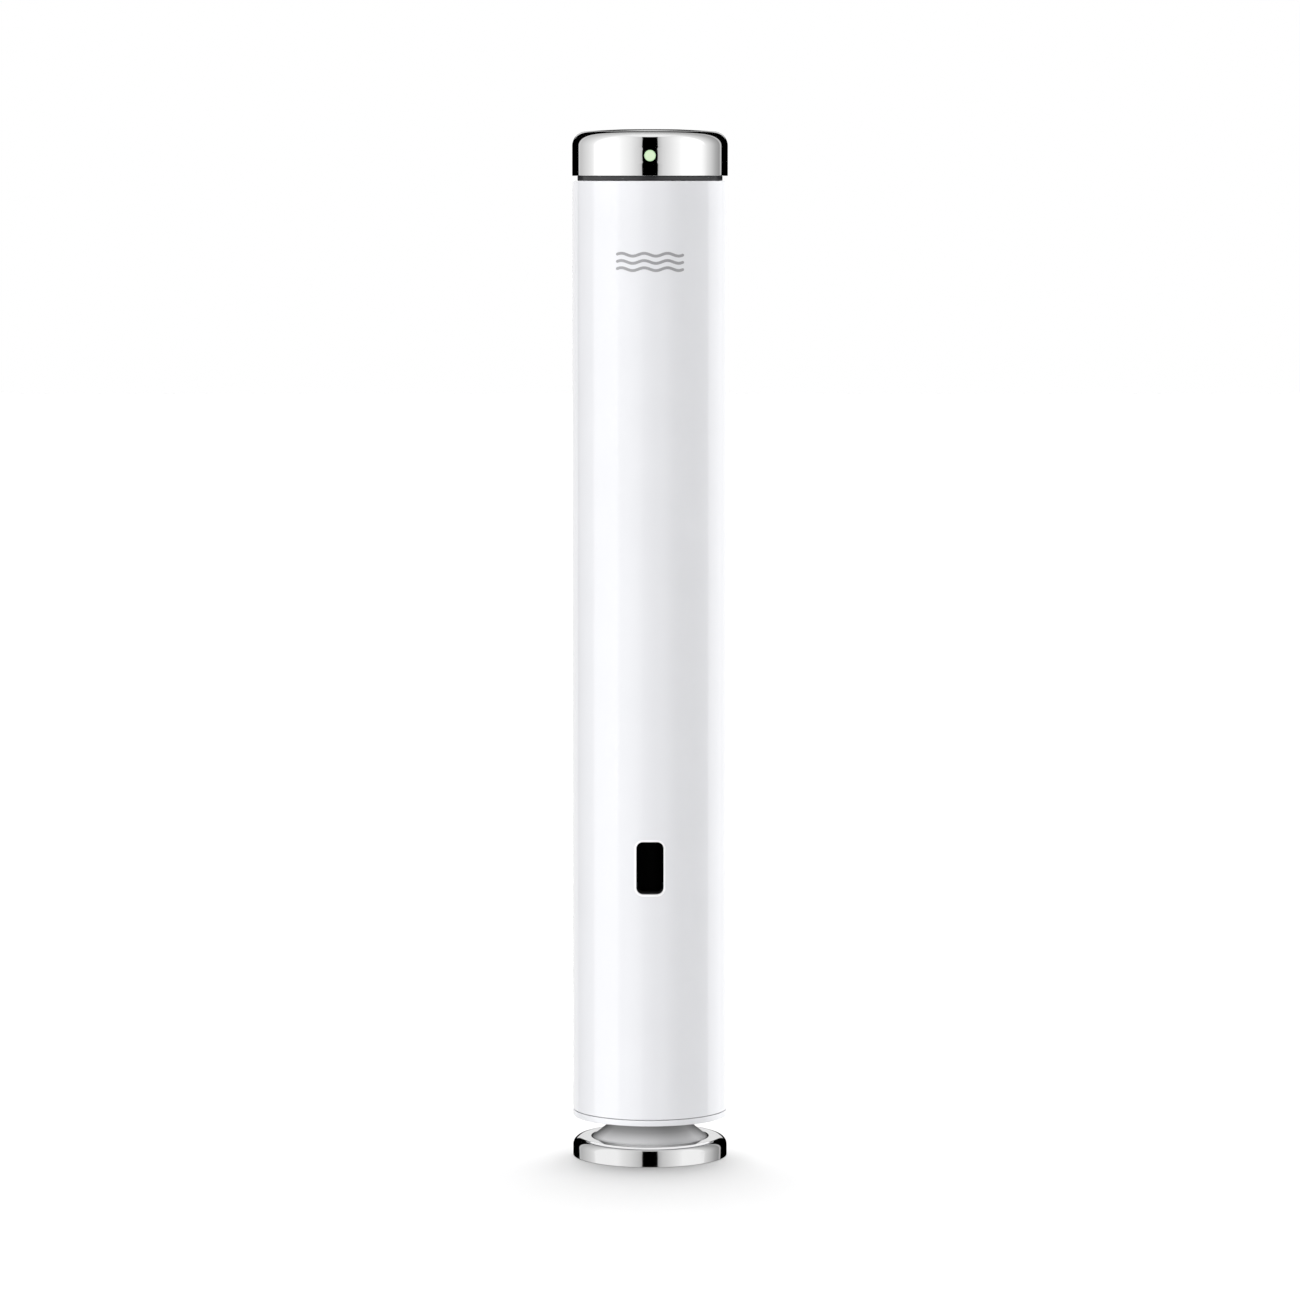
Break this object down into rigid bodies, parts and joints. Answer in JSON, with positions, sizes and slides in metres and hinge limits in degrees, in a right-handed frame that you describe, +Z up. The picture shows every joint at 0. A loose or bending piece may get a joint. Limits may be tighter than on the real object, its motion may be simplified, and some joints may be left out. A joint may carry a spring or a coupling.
{
  "type": "sous vide circulator",
  "caption": "Slim cylindrical immersion circulator with a steel cap and button, a magnetic foot above a ring intake, a side outlet window and a pot clip on the back.",
  "frame": {"origin": "centre of the underside of the foot pad, where the stick stands", "axes": "+Z up along the stick, -Y the front with the lens and outlet, +Y the back with the cord gland and clip"},
  "size_m": [0.047, 0.0613, 0.3128],
  "materials": {
    "white_plastic": "semi-gloss moulded",
    "polished_steel": "mirror polished stainless",
    "satin_steel": "satin",
    "machined_steel": "machined",
    "tube_steel": "drawn tube",
    "spring_steel": "drawn wire",
    "magnet": "sintered ferrite",
    "black_rubber": "moulded",
    "gloss_gasket": "smooth, slightly glossy",
    "grey_silicone": "matte",
    "black_plastic": "matte moulded",
    "grey_plastic": "matte moulded",
    "frame_plastic": "matte moulded",
    "bronze": "sintered",
    "heater_glaze": "fired film",
    "copper_winding": "enamelled wire on laminations",
    "lead_sheath": "extruded",
    "circuit_board": "solder resist",
    "relay_case": "moulded",
    "transformer_tape": "taped winding",
    "capacitor_sleeve": "shrunk sleeve",
    "shield_can": "tinned",
    "cream_plastic": "moulded",
    "lens_green": "lit translucent"
  },
  "bodies": {
    "housing": {"foot_pad": "black_rubber", "foot_magnet": "magnet", "foot_cup": "polished_steel", "foot_cone": "satin_steel", "foot_screw": "machined_steel", "end_ring": "white_plastic", "intake_spider": "grey_plastic", "shaft_bush": "bronze", "shaft_shroud": "black_plastic", "tube_seals": "grey_silicone", "heater_tube": "tube_steel", "heater_film": "heater_glaze", "thermal_fuse": "cream_plastic", "heater_leads": "lead_sheath", "outlet_manifold": "black_plastic", "outlet_gasket": "black_rubber", "temperature_probe": "tube_steel", "shaft_seal": "black_rubber", "motor_cushion": "black_rubber", "motor_can": "machined_steel", "motor_stator": "copper_winding", "motor_bearings": "machined_steel", "motor_cap": "cream_plastic", "motor_screws": "machined_steel", "chassis": "frame_plastic", "power_board": "circuit_board", "relay": "relay_case", "transformer": "transformer_tape", "capacitors": "capacitor_sleeve", "triac": "black_plastic", "control_board": "circuit_board", "wireless_module": "shield_can", "cap_ribbon": "cream_plastic", "sleeve": "white_plastic", "cord_gland": "white_plastic", "gland_nut": "white_plastic", "cap_gasket": "gloss_gasket", "cap_base": "grey_plastic", "cap_screws": "machined_steel", "cap_board": "circuit_board", "switch_body": "black_plastic", "led": "lens_green", "led_lens": "lens_green", "button_guide": "grey_plastic", "button_seal": "grey_silicone", "button_spring": "spring_steel", "cap_shell": "polished_steel", "clip_bracket": "white_plastic", "clip_nut_plate": "machined_steel", "clip_screws": "machined_steel", "clip_pin": "machined_steel", "clip_spring": "spring_steel"},
    "rotor": {"motor_shaft": "machined_steel", "impeller": "grey_plastic", "motor_rotor": "magnet"},
    "button": {"button": "polished_steel", "switch_plunger": "cream_plastic"},
    "clip": {"clip_lever": "white_plastic", "clip_pad": "grey_silicone"}
  },
  "joints": [
    {"name": "rotor_spin", "type": "hinge", "parent": "housing", "child": "rotor", "pos_m": [0, 0, 0.078], "axis": [0, 0, 1], "continuous": true},
    {"name": "button_press", "type": "slide", "parent": "housing", "child": "button", "axis": [0, 0, -1], "range_m": [0, 0.0008], "stiffness_N_per_m": 600, "springref_m": -0.0015, "deforming": ["button_spring"]},
    {"name": "clip_pivot", "type": "hinge", "parent": "housing", "child": "clip", "pos_m": [0, 0.0315, 0.222], "axis": [1, 0, 0], "range_deg": [0, 18], "stiffness_Nm_per_rad": 0.35, "springref_deg": -20.05, "deforming": ["clip_spring"]}
  ]
}
